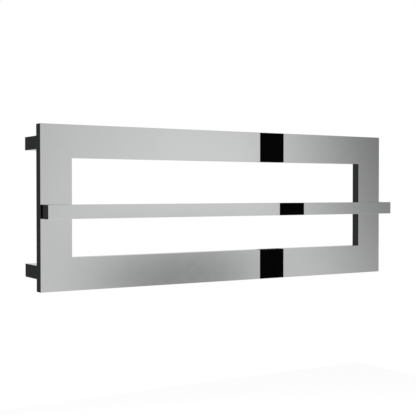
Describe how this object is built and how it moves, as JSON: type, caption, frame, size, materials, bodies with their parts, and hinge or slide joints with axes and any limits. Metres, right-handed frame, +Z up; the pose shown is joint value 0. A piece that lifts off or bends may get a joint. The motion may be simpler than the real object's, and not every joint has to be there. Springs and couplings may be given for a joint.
{
  "type": "towel warmer rack",
  "caption": "Wall-hung hot-water towel radiator: flat rectangular tube frame, one square towel bar in front, flush black bands, square legs to the wall.",
  "frame": {"origin": "centre of the four wall fixings, on the face of the wall", "axes": "+X to the right seen from the front, +Y into the wall (the front faces -Y), +Z up"},
  "size_m": [0.8, 0.157, 0.3],
  "materials": {
    "chrome": "polished",
    "black_gloss": "gloss",
    "inner_steel": "satin",
    "zinc_steel": "satin",
    "black_oxide": "satin",
    "plated_brass": "polished",
    "seal_rubber": "matte",
    "outlet_plastic": "satin"
  },
  "bodies": {
    "wall_anchors": {"wall_anchor_upper_left": "zinc_steel", "wall_anchor_upper_right": "zinc_steel", "wall_anchor_lower_left": "zinc_steel", "wall_anchor_lower_right": "zinc_steel"},
    "radiator": {"left_stile": "chrome", "right_stile": "chrome", "top_rail_left": "chrome", "top_rail_right": "chrome", "bottom_rail_left": "chrome", "bottom_rail_right": "chrome", "towel_bar_left": "chrome", "towel_bar_right": "chrome", "bar_end_cap_left": "chrome", "bar_end_cap_right": "chrome", "connection_boss_left": "chrome", "connection_boss_right": "chrome", "vent_boss": "chrome", "blanking_boss": "chrome", "top_band": "black_gloss", "bottom_band": "black_gloss", "bar_band": "black_gloss", "bar_spacer_left": "black_gloss", "bar_spacer_right": "black_gloss", "top_coupler": "inner_steel", "bottom_coupler": "inner_steel", "bar_coupler": "inner_steel", "flow_baffle": "inner_steel", "leg_upper_left": "chrome", "leg_upper_right": "chrome", "leg_lower_left": "chrome", "leg_lower_right": "chrome", "vent_plug": "plated_brass", "blanking_plug": "plated_brass", "vent_seal": "seal_rubber", "blanking_seal": "seal_rubber"},
    "bleed_screw": {"bleed_screw": "plated_brass"},
    "grub_screw_lower_left": {"grub_screw_lower_left": "black_oxide"},
    "grub_screw_lower_right": {"grub_screw_lower_right": "black_oxide"},
    "grub_screw_upper_left": {"grub_screw_upper_left": "black_oxide"},
    "grub_screw_upper_right": {"grub_screw_upper_right": "black_oxide"},
    "vent_outlet": {"vent_outlet": "outlet_plastic"}
  },
  "joints": [
    {"name": "depth_slide", "type": "slide", "parent": "wall_anchors", "child": "radiator", "axis": [0, -1, 0], "range_m": [0, 0.012]},
    {"name": "grub_screw_upper_left_turn", "type": "hinge", "parent": "radiator", "child": "grub_screw_upper_left", "pos_m": [-0.3715, -0.02, 0.1091], "axis": [0, 0, -1], "range_deg": [0, 360]},
    {"name": "grub_screw_upper_right_turn", "type": "hinge", "parent": "radiator", "child": "grub_screw_upper_right", "pos_m": [0.3715, -0.02, 0.1091], "axis": [0, 0, -1], "range_deg": [0, 360]},
    {"name": "grub_screw_lower_left_turn", "type": "hinge", "parent": "radiator", "child": "grub_screw_lower_left", "pos_m": [-0.3715, -0.02, -0.1299], "axis": [0, 0, -1], "range_deg": [0, 360]},
    {"name": "grub_screw_lower_right_turn", "type": "hinge", "parent": "radiator", "child": "grub_screw_lower_right", "pos_m": [0.3715, -0.02, -0.1299], "axis": [0, 0, -1], "range_deg": [0, 360]},
    {"name": "bleed_screw_turn", "type": "hinge", "parent": "radiator", "child": "bleed_screw", "pos_m": [0.33, -0.0795, 0.122], "axis": [0, 1, 0], "range_deg": [0, 360]},
    {"name": "vent_outlet_turn", "type": "hinge", "parent": "radiator", "child": "vent_outlet", "pos_m": [0.33, -0.0795, 0.122], "axis": [0, 1, 0], "continuous": true}
  ]
}
